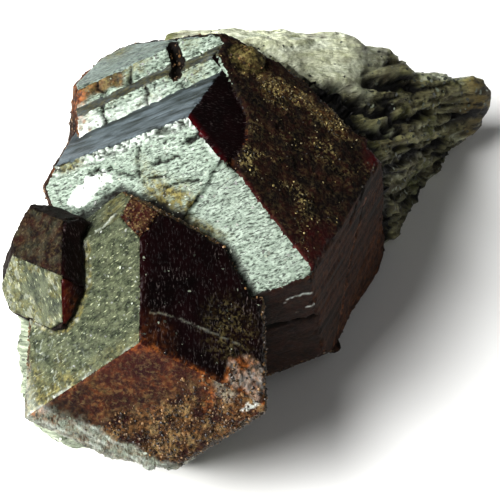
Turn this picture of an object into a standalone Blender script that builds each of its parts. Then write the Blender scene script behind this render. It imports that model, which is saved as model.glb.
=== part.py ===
"""Garnet in matrix: three garnet crystals seated in a wedge of foliated schist.

Metres, +Z up. The flat underside of the rock stands on z = 0 and the middle of
the specimen is over the origin. Every crystal is a cube cut down by lattice
planes: a plane is a triple of crystal axes and its distance from the crystal's
middle. Places on the specimen are in millimetres from the working origin.
"""

import math
import random

import bpy
import bmesh
from mathutils import Euler, Matrix, Vector, noise

MM = 0.001
SEAM = 0.35                   # gap between one body and its neighbour, mm
BIG = 60.0                    # half side of the cube a crystal is cut from, mm
NEAR = 0.00001                # cut tolerance on the blocks, mm
WELD = 0.000001               # corners closer than this are one corner, metres
COLLECTION = "garnet_in_matrix"

# --- large garnet -----------------------------------------------------------
LARGE_MIDDLE = (-6.6, 3.7, 19.3)
LARGE_ATTITUDE = (53.4, -33.8, -57.3)
LARGE_FACE = 24.6             # middle to a rhombic face
CRUST = 0.4                   # thickness of the grown crust on the right face
SKIN = 0.3                    # thickness of the mica skin on the top face
LARGE_SHEAR = (0.45, -0.79, -0.41)
LARGE_SHEAR_AT = 26.1         # middle to the break under the lower front wall
LARGE_STEPPED = 30.0          # middle to the outermost step at the upper left
LARGE_UNDERSIDE = 2.4         # height of the flat the crystal stands on
TREAD = (1.0, 0.12, 0.76)     # the treads lean a little from the top face
TREADS = (16.4, 13.5)         # middle to each tread, from the top face down
RISER_FAR_LEFT = 27.1         # middle to the second riser, left of the fault
RISER_FAR_RIGHT = 26.7        # the same riser, right of the fault
OUTER_LEFT = 29.3             # outermost riser, left of the fault
ALONG_STEPS = (-1, -1, 1)
FAULT = -7.2                  # place of the fault along the steps
CLEFT = (-8.1, -6.5)          # the two walls of the open cleft in the fault
CLEFT_FLOOR = 11.6            # middle to the floor of the cleft
STEPS_FROM = 18.0             # how deep the stepped growth reaches in
# broken ends: bearing and slope in degrees, distance from the middle in mm
SLAB_BREAKS = ((158, 21, 25.4), (-161, -7, 23.0))
RIM_BREAKS = ((38, 24, 25.8), (44, 27, 26.1), (57, 31, 26.7))
STEP_BREAKS = ((-176, 9, 22.5), (144, 29, 30.3), (124, 36, 30.8), (99, 41, 29.4))
SMOOTH_WALLS = ((19, 5.9), (-5, 7.4), (-31, 5.5))   # bounds of the bare facet
STRIP_WALL = (252.7, 2.8)     # bound of the strip with no mica skin
STRIP_DEPTH = 0.5
WALL_LEDGE = (-49.8, 5.9)     # ledge across the lower front wall
WALL_LEDGE_DEPTH = 0.6
FLANK_LEDGE = (249, 6.9)      # where the right wall steps back
FLANK_LEDGE_DEPTH = 0.5
KNOB = (-1.1, 15.9, 44.0)     # overgrown knob at the top of the right face
KNOB_SIZE = (3.6, 2.6, 2.6)
DRIP = (13.5, -11.4, 6.2)     # small lump under the right wall
DRIP_SIZE = (1.5, 1.2, 1.3)
PIT = (-2.4, -5.0, 45.2)      # pit between the bare facet and the crust
PIT_SIZE = (0.9, 1.3, 0.9)
LARGE_GRAINS = 36             # raised grains in the crust
GRAIN_RADIUS = (1.2, 3.0)
GRAIN_HEIGHT = (0.2, 0.45)

# --- front garnet -----------------------------------------------------------
FRONT_MIDDLE = (-14.3, -21.1, 22.4)
FRONT_ATTITUDE = (32.1, -69.5, 101.7)
FRONT_FACE = 17.7
FRONT_LEFT = 22.4             # middle to the upper left face, grown further out
FRONT_BEVEL = 20.3            # middle to the bevel over that face's edge
FRONT_CHIP = (0.97, 0.21, 0.13)
FRONT_CHIP_AT = 22.2
FRONT_BREAKS = ((-102, -30, 18.2), (1, -1, 16.0), (-113, -29, 18.9))
FRONT_UNDERSIDE = 2.4
SOCKET = (-17.2, -10.8, 44.9) # hole at the upper corner
SOCKET_SIZE = (1.2, 1.4, 1.6)
FRONT_GRAINS = 34

# --- small garnet -----------------------------------------------------------
SMALL_MIDDLE = (-30.0, -17.7, 36.5)
SMALL_ATTITUDE = (-169.4, 25.9, -68.9)

# --- schist: the blocks it is built up from, corners in mm --------------------
WEDGE = (
    (-10, 25, 37), (0, 25, 37.5), (-3, 22, 38), (3, 22, 36), (8, 20, 34), (12, 16, 31),
    (17, 13, 29), (21, 8, 25), (11, 31, 33), (15, 32, 32), (22, 33, 27), (27, 32, 23),
    (31, 32, 19), (27, 37, 14), (-14, 34, 30), (10, 37, 24),
    (33, 30.5, 0), (30.5, 26, 0), (26, 24, 0), (23.5, 20, 0), (20, 8, 0),
    (28, 36, 0), (0, 37, 0), (-20, 33, 0),
)
TAIL = (
    (24, 28, 25), (26, 33, 20), (39, 36.5, 16), (41.5, 36.5, 14), (42.2, 36.2, 12),
    (39.7, 35.8, 9), (40.3, 35.4, 7), (39, 34.6, 5), (36.5, 32.4, 3), (33, 30.4, 0),
    (30.3, 26, 0), (32, 32, 19.5), (22, 24, 6), (28, 38, 12), (36, 38.5, 8), (30, 36, 0),
)
FOOT = (
    (-27, -21, 0), (-20, -25, 0), (-8, -24, 0), (-3, -19, 0), (1, -9, 0), (10, -4, 0),
    (14, 1, 0), (19, 8, 0), (23, 18, 0), (0, 36, 0), (-22, 32, 0), (-30, 20, 0),
    (-30, 0, 0), (-29, -12, 0),
    (-26, -20, 14), (-8, -21, 14), (-1, -8, 14), (17, 8, 14), (0, 34, 14), (-28, 20, 14),
    (-29, -4, 14),
)
TONGUE = (
    (-31, 4, 0), (-29, -12, 0), (-26, -18, 4), (-32, -10, 14), (-34.5, -20.3, 25),
    (-36, -18.7, 27), (-32.7, -21.8, 23), (-30, -5, 22), (-27, -12, 26), (-24, 2, 4),
)
CRADLE = (
    (-34.8, -19.5, 20), (-34.8, -28.6, 18), (-34.1, -31, 17), (-32.2, -33.4, 16),
    (-28.8, -35, 15), (-23, -35.4, 14), (-35.0, -18, 24), (-29, -12, 2), (-27, -19, 1),
    (-20, -25, 1), (-30, -27, 7), (-25, -15, 12), (-18, -30, 10),
)
REAR = (
    (-31, 20, 0), (-24, 33, 0), (0, 37, 0), (-29, 19, 16), (-23, 30, 20), (-10, 34, 28),
    (-28, 8, 14), (0, 30, 30), (0, 10, 0),
)
FLAT_BELOW = 1.1              # rock lower than this is worn down to the floor, mm
GRAIN = 1.5                   # size of the rock's modelled grain, mm
ROCK_FACES = 6400
LAYER = (0.16, -0.34, 0.93)   # normal of the foliation
LAYER_STEP = 2.6              # thickness of a schist layer, mm
LAYER_DEPTH = 0.5
LUMP = 0.9                    # height of the rock's lumps, mm
ROCK_SWELL = 0.5              # makes up for what the wear takes off, mm


def axis(direction):
    return Vector(direction).normalized()


def compass(bearing, slope):
    """Unit vector from a bearing in the floor plane and an angle above it."""
    turn, rise = math.radians(bearing), math.radians(slope)
    return Vector((math.cos(turn) * math.cos(rise), math.sin(turn) * math.cos(rise), math.sin(rise)))


def in_face(face, along, angle):
    """Direction lying in a crystal face, turned from the axis named by 'along'."""
    normal = axis(face)
    start = (Vector(along) - normal * normal.dot(Vector(along))).normalized()
    return Matrix.Rotation(math.radians(angle), 3, normal) @ start


def cut_block(planes):
    """A cube about the origin cut by (normal, distance) planes, in mm."""
    bm = bmesh.new()
    bmesh.ops.create_cube(bm, size=2.0 * BIG)
    for normal, distance in planes:
        cut = bmesh.ops.bisect_plane(
            bm, geom=bm.verts[:] + bm.edges[:] + bm.faces[:], dist=NEAR,
            plane_co=normal * distance, plane_no=normal, clear_outer=True)
        rim = [part for part in cut["geom_cut"] if isinstance(part, bmesh.types.BMEdge)]
        if rim:
            bmesh.ops.contextual_create(bm, geom=rim)
    bmesh.ops.recalc_face_normals(bm, faces=bm.faces)
    return bm


def hull_block(corners):
    bm = bmesh.new()
    for corner in corners:
        bm.verts.new(corner)
    found = bmesh.ops.convex_hull(bm, input=bm.verts)
    loose = {part for part in found["geom_interior"] if isinstance(part, bmesh.types.BMVert)}
    bmesh.ops.delete(bm, geom=list(loose), context="VERTS")
    return bm


def add_object(bm, name, collection, attitude=(0, 0, 0), middle=(0, 0, 0)):
    """Turn and place a millimetre solid on the specimen and name it."""
    turn = Euler([math.radians(a) for a in attitude]).to_matrix().to_4x4()
    place = Matrix.Diagonal((MM, MM, MM, 1.0)) @ Matrix.Translation(Vector(middle)) @ turn
    bmesh.ops.transform(bm, matrix=place, verts=bm.verts)
    mesh = bpy.data.meshes.new(name)
    bm.to_mesh(mesh)
    bm.free()
    made = bpy.data.objects.new(name, mesh)
    collection.objects.link(made)
    return made


def settle_modifiers(thing):
    """Replace the object's mesh with what its modifiers make of it."""
    graph = bpy.context.evaluated_depsgraph_get()
    made = bpy.data.meshes.new_from_object(thing.evaluated_get(graph))
    thing.modifiers.clear()
    thing.data = made


def combine(thing, others, operation):
    for other in others:
        step = thing.modifiers.new("join", "BOOLEAN")
        step.operation = operation
        step.solver = "EXACT"
        step.object = other
    settle_modifiers(thing)


class Crystal:
    """A crystal's attitude and middle, and the blocks cut in its own axes."""

    def __init__(self, name, attitude, middle, cutters):
        self.name = name
        self.attitude = attitude
        self.middle = middle
        self.cutters = cutters
        self.turn = Euler([math.radians(a) for a in attitude]).to_matrix()
        self.count = 0

    def own(self, direction):
        """A specimen direction seen in the crystal's own axes."""
        return self.turn.transposed() @ Vector(direction)

    def broken(self, bearing, slope, distance):
        return self.own(compass(bearing, slope)), distance

    def flat_underside(self, height):
        return self.own((0, 0, -1)), self.middle[2] - height

    def block(self, planes, collection=None, name=None):
        self.count += 1
        name = name or "%s_cutter_%02d" % (self.name, self.count)
        return add_object(
            cut_block(planes), name, collection or self.cutters, self.attitude, self.middle)

    def seat(self, planes):
        """The crystal grown by the seam, to cut its neighbours with."""
        return self.block([(normal, distance + SEAM) for normal, distance in planes])


def twelve_faces(distance, changed):
    """The twelve rhombic planes, with the distances of some of them changed."""
    planes = []
    for first, second in ((0, 1), (0, 2), (1, 2)):
        for sign_one in (1, -1):
            for sign_two in (1, -1):
                face = [0, 0, 0]
                face[first], face[second] = sign_one, sign_two
                planes.append((axis(face), changed.get(tuple(face), distance)))
    return planes


def large_planes(crystal):
    """Planes of the crystal proper, and of the stepped growth beside it."""
    crust, skin = LARGE_FACE + CRUST, LARGE_FACE + SKIN
    under = crystal.flat_underside(LARGE_UNDERSIDE)
    proper = twelve_faces(LARGE_FACE, {(1, 1, 0): crust, (1, 0, 1): skin})
    proper += [crystal.broken(*end) for end in SLAB_BREAKS + RIM_BREAKS]
    proper += [(axis(LARGE_SHEAR), LARGE_SHEAR_AT), under]
    stepped = twelve_faces(LARGE_FACE, {(1, 1, 0): crust, (0, 1, 1): LARGE_STEPPED})
    stepped += [crystal.broken(*end) for end in STEP_BREAKS + RIM_BREAKS]
    stepped += [(axis(TREAD), TREADS[0]), beyond(axis((0, 1, 1)), STEPS_FROM), under]
    return proper, stepped


def beyond(normal, distance):
    return -normal, -distance


def large_garnet(crystal, proper, stepped, solids):
    body = crystal.block(proper, solids, "large_garnet")
    combine(body, [crystal.block(stepped)], "UNION")
    riser, tread, along = axis((0, 1, 1)), axis(TREAD), axis(ALONG_STEPS)
    right, top, wall, flank = axis((1, 1, 0)), axis((1, 0, 1)), axis((1, -1, 0)), axis((1, 0, -1))
    cuts = [
        [beyond(riser, RISER_FAR_LEFT), beyond(tread, TREADS[1]), beyond(along, FAULT)],
        [beyond(riser, RISER_FAR_RIGHT), beyond(tread, TREADS[1]), (along, FAULT)],
        [beyond(riser, OUTER_LEFT), beyond(along, FAULT)],
        [beyond(riser, RISER_FAR_RIGHT - 0.9), beyond(tread, CLEFT_FLOOR),
         beyond(along, CLEFT[0]), (along, CLEFT[1])],
        [beyond(right, LARGE_FACE)]
        + [beyond(in_face((1, 1, 0), (0, 0, 1), turn), d) for turn, d in SMOOTH_WALLS],
        [beyond(top, LARGE_FACE + SKIN - STRIP_DEPTH),
         beyond(in_face((1, 0, 1), (0, 1, 0), STRIP_WALL[0]), STRIP_WALL[1])],
        [beyond(wall, LARGE_FACE - WALL_LEDGE_DEPTH),
         (in_face((1, -1, 0), (0, 0, 1), WALL_LEDGE[0]), WALL_LEDGE[1])],
        [beyond(flank, LARGE_FACE - FLANK_LEDGE_DEPTH),
         beyond(in_face((1, 0, -1), (0, 1, 0), FLANK_LEDGE[0]), FLANK_LEDGE[1])],
    ]
    combine(body, [crystal.block(cut) for cut in cuts], "DIFFERENCE")
    return body


def front_planes(crystal):
    planes = twelve_faces(FRONT_FACE, {(1, 0, -1): FRONT_LEFT})
    planes += [crystal.broken(*end) for end in FRONT_BREAKS]
    planes.append((axis((2, 1, -1)), FRONT_BEVEL))
    planes.append((axis(FRONT_CHIP), FRONT_CHIP_AT))
    planes.append(crystal.flat_underside(FRONT_UNDERSIDE))
    return planes


def small_planes():
    faces = {
        (-1, 1, -2): 3.0, (0, 1, -1): 2.9, (0, -1, -1): 5.6, (1, -1, -2): 6.8,
        (-2, -1, -1): 7.6, (-1, 2, -1): 4.7, (1, 2, -1): 6.2, (2, 1, -1): 9.1,
        (2, -1, -1): 9.0, (-1, 1, 0): 6.9, (-1, -1, 0): 9.0, (1, 1, 0): 8.0,
        (0, 1, 1): 8.0, (1, 0, 1): 9.0, (-1, 0, 1): 9.0, (0, -1, 1): 10.0,
    }
    return [(axis(face), distance) for face, distance in faces.items()]


def lump_block(size, rng, corners):
    """A small angular lump: the hull of points strewn over an ellipsoid."""
    points = []
    for _ in range(corners):
        way = Vector((rng.gauss(0, 1), rng.gauss(0, 1), rng.gauss(0, 1))).normalized()
        points.append([way[i] * size[i] for i in range(3)])
    return hull_block(points)


def pebble(name, middle, size, seed, collection):
    return add_object(lump_block(size, random.Random(seed), 26), name, collection, middle=middle)


def grains(crystal, face, along, level, allowed, count, seed):
    """Flat angular grains lying half sunk in a crystal face."""
    rng = random.Random(seed)
    up, side = in_face(face, along, 0), in_face(face, along, 90)
    frame = Matrix((up, side, axis(face))).transposed()
    made = []
    while len(made) < count:
        a, b = rng.uniform(-18, 18), rng.uniform(-24, 24)
        if not allowed(a, b):
            continue
        radius = rng.uniform(*GRAIN_RADIUS)
        block = lump_block((radius, radius * rng.uniform(0.5, 0.9), rng.uniform(*GRAIN_HEIGHT)), rng, 14)
        turn = Matrix.Rotation(rng.uniform(0, math.pi), 3, "Z")
        bmesh.ops.transform(block, matrix=(frame @ turn).to_4x4(), verts=block.verts)
        bmesh.ops.translate(block, vec=up * a + side * b + axis(face) * level, verts=block.verts)
        made.append(add_object(block, "grain", crystal.cutters, crystal.attitude, crystal.middle))
    return made


def crust_area(a, b):
    """The grown part of the right face, clear of its edges and of the bare facet."""
    return abs(a) / 17.4 + abs(b) / 24.6 < 0.86 and a < 5.6 and 0.6 * a - b < 5


def granular_area(a, b):
    """The worn lower part of the front crystal's lower face."""
    return abs(a) / 12.5 + abs(b) / 17.7 < 0.82 and a < 2.5 - 0.2 * b


def rock_blank(collection, cutters):
    """The rock as overlapping blocks run together and worn into layers."""
    body = add_object(hull_block(WEDGE), "schist_matrix", collection)
    blocks = [
        add_object(hull_block(corners), "rock_block_%d" % place, cutters)
        for place, corners in enumerate((TAIL, FOOT, TONGUE, CRADLE, REAR))
    ]
    combine(body, blocks, "UNION")
    grain = body.modifiers.new("grain", "REMESH")
    grain.mode = "VOXEL"
    grain.voxel_size = GRAIN * MM
    settle_modifiers(body)
    wear(body)
    fewer = body.modifiers.new("fewer", "DECIMATE")
    fewer.ratio = ROCK_FACES / (2.0 * len(body.data.polygons))
    settle_modifiers(body)
    flatten(body)
    return body


def flatten(body):
    """Bring everything near the floor down to it."""
    for vert in body.data.vertices:
        if vert.co.z < FLAT_BELOW * MM:
            vert.co.z = 0.0


def wear(body):
    """Push the surface in and out: broad lumps, and a ledge at every layer."""
    layer = axis(LAYER)
    bm = bmesh.new()
    bm.from_mesh(body.data)
    bmesh.ops.smooth_vert(bm, verts=bm.verts, factor=0.5, use_axis_x=True, use_axis_y=True, use_axis_z=True)
    bm.normal_update()
    moves = []
    for vert in bm.verts:
        here = vert.co / MM
        bend = 1.6 * noise.noise(here * 0.05)
        height = here.dot(layer) / LAYER_STEP + bend
        edge_on = 1.0 - abs(vert.normal.dot(layer))
        ledge = LAYER_DEPTH * edge_on * (2.0 * (height - math.floor(height)) - 1.0)
        lump = LUMP * noise.noise(here * 0.16) + 0.5 * LUMP * noise.noise(here * 0.38)
        moves.append(vert.normal * (ROCK_SWELL + ledge + lump) * MM)
    for vert, move in zip(bm.verts, moves):
        vert.co += move
    bm.to_mesh(body.data)
    bm.free()


def paint(thing, colour, roughness):
    material = bpy.data.materials.new(thing.name)
    material.use_nodes = True
    surface = material.node_tree.nodes["Principled BSDF"]
    surface.inputs["Base Color"].default_value = (*colour, 1.0)
    surface.inputs["Roughness"].default_value = roughness
    thing.data.materials.clear()
    thing.data.materials.append(material)


def tidy(thing):
    """Drop slivers the cuts leave and face every side outwards."""
    bm = bmesh.new()
    bm.from_mesh(thing.data)
    bmesh.ops.remove_doubles(bm, verts=bm.verts, dist=WELD)
    midway = [vert for vert in bm.verts if len(vert.link_edges) == 2]
    bmesh.ops.dissolve_verts(bm, verts=midway)
    bmesh.ops.triangulate(bm, faces=bm.faces)
    bmesh.ops.recalc_face_normals(bm, faces=bm.faces)
    bm.to_mesh(thing.data)
    bm.free()


def stand_on_origin(things):
    """Slide the specimen so that its box stands centred over the origin."""
    points = [vert.co for thing in things for vert in thing.data.vertices]
    low = [min(point[i] for point in points) for i in range(3)]
    high = [max(point[i] for point in points) for i in range(3)]
    slide = Vector((-(low[0] + high[0]) / 2, -(low[1] + high[1]) / 2, -low[2]))
    for thing in things:
        thing.data.transform(Matrix.Translation(slide))
    return slide


def main():
    for old in list(bpy.data.objects):
        bpy.data.objects.remove(old)
    solids = bpy.data.collections.new(COLLECTION)
    cutters = bpy.data.collections.new("cutters")
    bpy.context.scene.collection.children.link(solids)
    bpy.context.scene.collection.children.link(cutters)

    large = Crystal("large", LARGE_ATTITUDE, LARGE_MIDDLE, cutters)
    front = Crystal("front", FRONT_ATTITUDE, FRONT_MIDDLE, cutters)
    small = Crystal("small", SMALL_ATTITUDE, SMALL_MIDDLE, cutters)
    (proper, stepped), of_front, of_small = large_planes(large), front_planes(front), small_planes()

    large_body = large_garnet(large, proper, stepped, solids)
    knob = pebble("knob", KNOB, KNOB_SIZE, 4, cutters)
    drip = pebble("drip", DRIP, DRIP_SIZE, 7, cutters)
    crust = grains(
        large, (1, 1, 0), (0, 0, 1), LARGE_FACE + CRUST, crust_area, LARGE_GRAINS, 11)
    combine(large_body, [knob, drip, *crust], "UNION")
    combine(large_body, [pebble("pit", PIT, PIT_SIZE, 2, cutters)], "DIFFERENCE")

    front_body = front.block(of_front, solids, "front_garnet")
    large_seats = [large.seat(proper), large.seat(stepped)]
    rough = grains(
        front, (0, 1, 1), (1, 0, 0), FRONT_FACE, granular_area, FRONT_GRAINS, 12)
    combine(front_body, rough, "UNION")
    socket = pebble("socket", SOCKET, SOCKET_SIZE, 3, cutters)
    combine(front_body, [large_seats[0], socket], "DIFFERENCE")

    small_body = small.block(of_small, solids, "small_garnet")
    front_seat = front.seat(of_front)
    combine(small_body, [front_seat, large_seats[0]], "DIFFERENCE")

    rock = rock_blank(solids, cutters)
    small_seat = small.seat(of_small)
    knob_seat = pebble("knob_seat", KNOB, [s + SEAM for s in KNOB_SIZE], 4, cutters)
    combine(rock, [*large_seats, front_seat, small_seat, knob_seat], "DIFFERENCE")

    things = [rock, large_body, front_body, small_body]
    for thing in things:
        tidy(thing)
    slide = stand_on_origin(things)
    rock["slide"] = [round(v / MM, 3) for v in slide]
    paint(rock, (0.23, 0.24, 0.19), 0.85)
    paint(large_body, (0.16, 0.05, 0.045), 0.45)
    paint(front_body, (0.17, 0.07, 0.05), 0.45)
    paint(small_body, (0.18, 0.04, 0.04), 0.45)
    for cutter in cutters.objects:
        cutter.hide_render = True
        cutter.display_type = "WIRE"


main()
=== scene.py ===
"""Garnet in matrix, dressed: dense crystal and rock meshes under mica, crust and iron stain.

Places on the specimen are millimetres; meshes are metres. Every crystal is handled
in its own axes, where its rhombic faces are plain planes about its middle.
"""

import itertools
import math

import bmesh
import bpy
import numpy as np
from mathutils import Euler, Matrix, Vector
from mathutils.bvhtree import BVHTree
from mathutils.kdtree import KDTree


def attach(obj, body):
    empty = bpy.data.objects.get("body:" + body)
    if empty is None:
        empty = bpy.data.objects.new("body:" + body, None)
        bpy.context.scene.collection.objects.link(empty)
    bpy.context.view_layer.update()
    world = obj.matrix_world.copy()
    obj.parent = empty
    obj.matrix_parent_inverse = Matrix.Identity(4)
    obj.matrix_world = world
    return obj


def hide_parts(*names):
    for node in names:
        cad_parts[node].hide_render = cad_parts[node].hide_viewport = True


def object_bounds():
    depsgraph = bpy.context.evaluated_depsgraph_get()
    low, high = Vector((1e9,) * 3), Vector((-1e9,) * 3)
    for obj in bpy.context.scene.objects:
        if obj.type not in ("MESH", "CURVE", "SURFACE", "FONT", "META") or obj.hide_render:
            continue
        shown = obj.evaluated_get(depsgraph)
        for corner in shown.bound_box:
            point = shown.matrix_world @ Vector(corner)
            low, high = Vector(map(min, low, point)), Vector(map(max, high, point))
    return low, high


MM = 0.001
WELD = 0.000001               # corners closer than this are one corner, metres
LARGE_CELL = 0.37             # mesh cells, mm
FRONT_CELL = 0.275
SMALL_CELL = 0.18
ROCK_CELL = 0.405
EDGE_REACH = 0.6              # share of a cell within which a corner moves onto a crystal edge
SEED = 5                      # added to the number that each pattern below has

# Crystal attitudes (degrees) and middles (mm, before the specimen slides over the origin).
LARGE_ATTITUDE, LARGE_MIDDLE = (53.4, -33.8, -57.3), (-6.6, 3.7, 19.3)
FRONT_ATTITUDE, FRONT_MIDDLE = (32.1, -69.5, 101.7), (-14.3, -21.1, 22.4)
SMALL_ATTITUDE, SMALL_MIDDLE = (-169.4, 25.9, -68.9), (-30.0, -17.7, 36.5)
KNOB, KNOB_SIZE = (-1.1, 15.9, 44.0), (3.9, 2.9, 2.9)
STRIP_BELOW, STRIP_ALONG = 0.8, 8.0   # the broken strip lies this near the top's plane, and this far along it

# Widths of grains and depths of relief, mm.
CRUMB, BEAD, FINE_BEAD, SMALL_BEAD = 0.8, 1.0, 0.55, 0.7
CRACK_DEPTH, GROOVE_DEPTH, PIT_DEPTH = 0.55, 0.6, 0.5
WORN_WIDTH, WORN_WAVER = 0.60, 0.40   # how far from its edges a crystal is worn
WEAR_DEPTH, CHIP_DEPTH = 0.10, 0.40

# The schist: its layers' normal, its plates and leaves (along, down and through the layers, mm), and
# pairs of millimetres between which something begins or fades.
FOLIATION = (-0.02, 0.70, 0.71)
PLATE_SIZE = (19.0, 19.0, 1.8)
LEAF_SIZE = (6.0, 6.0, 0.75)
BLADE_HEIGHT, CREVICE_DEPTH, CRACK_IN_LEAF, CLEFT_DEPTH = 0.5, 0.9, 0.35, 1.2
BESIDE_GARNET, RECESS_DEPTH, STREAK_DEPTH = 0.8, 1.3, 0.3
WEATHERED_ABOVE, WEATHERED_BEHIND = (27.0, 30.0), (21.0, 24.5)
FRESH_LEFT_OF, TIP_RIGHT_OF = (-21.0, -25.0), (32.5, 37.5)
SMOOTH_BELOW, SMOOTH_RIGHT_OF = (0.3, 1.5), (38.0, 31.0)
RECESS, RECESS_REACH = (13.5, 18.5, 31.0), 5.5   # broken hollow beside the large crystal

# Faces: name, plane, distances from the middle, and the way its striations run.
LARGE_FACES = (
    ("top", (1, 0, 1), (24.9,), (-1, -1, 1)),
    ("strip", (1, 0, 1), (24.4,), (-1, -1, 1)),
    ("tread", (1, 0.12, 0.76), (16.4, 13.5), (-1, -1, 1)),
    ("low_riser", (0, 1, 1), (24.6,), (-1, -1, 1)),
    ("mid_riser", (0, 1, 1), (26.7, 27.1), (-1, -1, 1)),
    ("high_riser", (0, 1, 1), (29.3, 30.0), (-1, -1, 1)),
    ("right", (1, 1, 0), (25.0,), (0, 0, 1)),
    ("bare", (1, 1, 0), (24.6,), (0, 0, 1)),
    ("wall", (1, -1, 0), (24.6, 24.0), (1, 1, -1)),
    ("flank", (1, 0, -1), (24.6,), (-1, 1, -1)),
    ("rough_flank", (1, 0, -1), (24.1,), (-1, 1, -1)),
    ("back", (0, 1, -1), (24.6,), (-1, 1, 1)),
)
FRONT_FACES = (
    ("green", (1, 1, 0), (17.7,), (1, -1, 1)),
    ("bevel", (2, 1, -1), (20.3,), (1, -1, 1)),
    ("dark", (1, 0, 1), (17.7,), (1, -1, -1)),
    ("brown", (0, 1, 1), (17.7,), (1, 0, 0)),
    ("rear", (1, 0, -1), (22.4,), (1, 1, 1)),
    ("chip", (0.97, 0.21, 0.13), (22.2,), (0, 1, 1)),
)
SMALL_FACES = (
    ("upper_left", (-1, 1, -2), (3.0,), (-1, -1, 0)),
    ("lower_left", (0, 1, -1), (2.9,), (-1, 0, 0)),
    ("upper_right", (0, -1, -1), (5.6,), (1, 0, 0)),
    ("lower_right", (1, -1, -2), (6.8,), (1, 1, 0)),
)
BROWN_ACROSS = np.array((0.0, 1.0, -1.0)) / math.sqrt(2)
BROWN_POINT = 12.5            # how far the brown face reaches along its striations, mm
RIM_SLOPE, RIM_START = (0.816, 0.576), 17.7   # the pale rim crosses the brown face's lower corner
# Marks painted on the garnets. The dark mark paints shade into cracks, gaps, pits and where crystals touch,
# besides darker grime; the red mark paints a glow of light through thin garnet edges over a red tint; the
# pale mark paints highlights and glints as well as pale coatings.
MARKS = ("mica", "chlorite", "slate", "crust", "granular", "gilt", "ochre", "rust", "red_tint_and_glow", "pale_and_highlight", "grime_and_shade")
FACE_KEYS = 64                # more than the faces of any crystal
LEAST_MATCH = 0.55            # how well a face's slope and plane must match for a point to be on it
OFF_PLANE_COST = 0.6          # what each millimetre off a face's plane takes from the match

# Lines and patches on the faces: millimetres along and across each face's striations.
TOP_CRACKS = (
    ((7.8, -11.1), (5.9, -10.9), (3.9, -10.7)), ((3.2, -9.3), (2.1, -9.2), (1.0, -8.4)),
    ((-0.3, -7.3), (-2.2, -7.4), (-4.6, -6.7)), ((-7.9, -10.5), (-9.1, -10.7), (-11.2, -11.2)),
    ((-7.9, -10.5), (-9.4, -10.4), (-11.0, -10.8)), ((-3.1, -5.2), (-5.1, -5.3), (-8.7, -4.8)),
    ((-1.1, -12.1), (-0.3, -10.3), (0.0, -7.9)), ((-2.0, -9.2), (-4.5, -9.2), (-6.8, -8.7)),
)
# The top face's pale plate, painted as a bright highlight.
TOP_PLATE = (((10.9, -8.2), (8.6, -8.9), (6.1, -9.7)),)
TREAD_CRACKS = (
    ((8.3, -17.6), (7.6, -20.7), (7.2, -23.0)), ((1.0, -19.0), (0.4, -20.6), (0.6, -22.5)),
    ((1.8, -25.2), (2.4, -24.1), (3.1, -23.5), (4.2, -22.8)), ((7.6, -25.4), (7.9, -24.2), (7.5, -23.2)),
)
GILT_PATCHES = (              # middle, reach and strength
    ((2.2, -8.4), (3.6, 3.2), 1.0), ((-6.0, -6.0), (3.6, 1.8), 0.9), ((8.8, 6.0), (2.6, 3.6), 1.0),
    ((0.8, 11.0), (3.0, 4.2), 0.45), ((1.0, 17.6), (2.6, 4.4), 0.35), ((-5.4, 1.3), (3.6, 2.8), 0.35),
)
RIM_GOLD = (((4.4, -10.5), (3.4, -8.8), (-0.7, -8.5), (-3.3, -7.6), (-6.3, -6.1), (-9.3, -5.3)),)
WALL_GROOVE = (((7.1, 3.1), (9.4, 3.3), (11.7, 2.9), (16.1, 2.2)),)
# Glints painted on the wall as highlights.
WALL_GLINTS = (((13.4, 9.4), (14.9, 9.8), (16.3, 9.8), (18.6, 9.4)), ((13.9, 5.7), (15.4, 6.5), (17.2, 5.8)))
FLANK_PITS = (((1.6, 14.0), (0.6, 13.2)), ((-1.2, 13.6), (-1.8, 12.2)), ((-3.0, 12.7), (-3.2, 11.6)))
FLANK_SEAM = (((3.1, 11.1), (-1.1, 4.1), (-2.6, -3.0), (-4.2, -10.3), (-5.0, -12.9)),)
DARK_VEIN = (((-2.4, 8.6), (-2.7, 4.6), (-3.9, -0.1), (-5.5, -5.7)),)
BEVEL_WRINKLE = (((6.0, -0.2), (7.5, 0.2), (9.4, 1.0)),)
BROWN_GREENS = (
    ((9.0, -10.3), (6.8, -10.8), (4.4, -11.2), (2.6, -11.9)), ((8.0, 7.3), (5.2, 7.1), (4.3, 5.8)),
)
BROWN_FLAME = (((8.2, -8.5), (4.5, -8.9), (2.7, -9.5), (0.5, -8.5)),)
# A glint painted on the brown face as a highlight.
BROWN_GLINT = (((-0.3, -14.2), (1.1, -15.7), (1.8, -17.0)),)
BROWN_SHADE = (((2.6, 14.6), (0.9, 12.0), (-0.1, 10.0)),)
# On the schist: millimetres along the strike of its layers, and up through them.
DEEP_CLEFTS = (
    ((-9.4, 38.3), (-14.9, 38.9), (-20.7, 37.8), (-26.1, 36.9)),
    ((-11.0, 35.3), (-16.6, 34.5), (-20.5, 33.3)),
    ((-20.5, 33.3), (-25.1, 32.2), (-28.0, 32.4)), ((-15.8, 31.9), (-20.4, 30.3), (-24.4, 29.6)),
    ((-32.0, 29.5), (-35.0, 30.3), (-38.1, 31.3)), ((-23.5, 26.3), (-27.5, 25.6), (-30.5, 26.2)),
)
PALE_BLADES = (
    ((-26.5, 38.2), (-31.0, 37.6), (-36.0, 36.9)), ((-22.6, 29.0), (-27.0, 28.6), (-31.5, 28.0)),
    ((-14.8, 37.5), (-20.0, 36.5)), ((-23.4, 33.4), (-28.1, 33.4), (-31.0, 33.8)),
    ((-16.5, 33.2), (-19.5, 32.0)),
)

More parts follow.
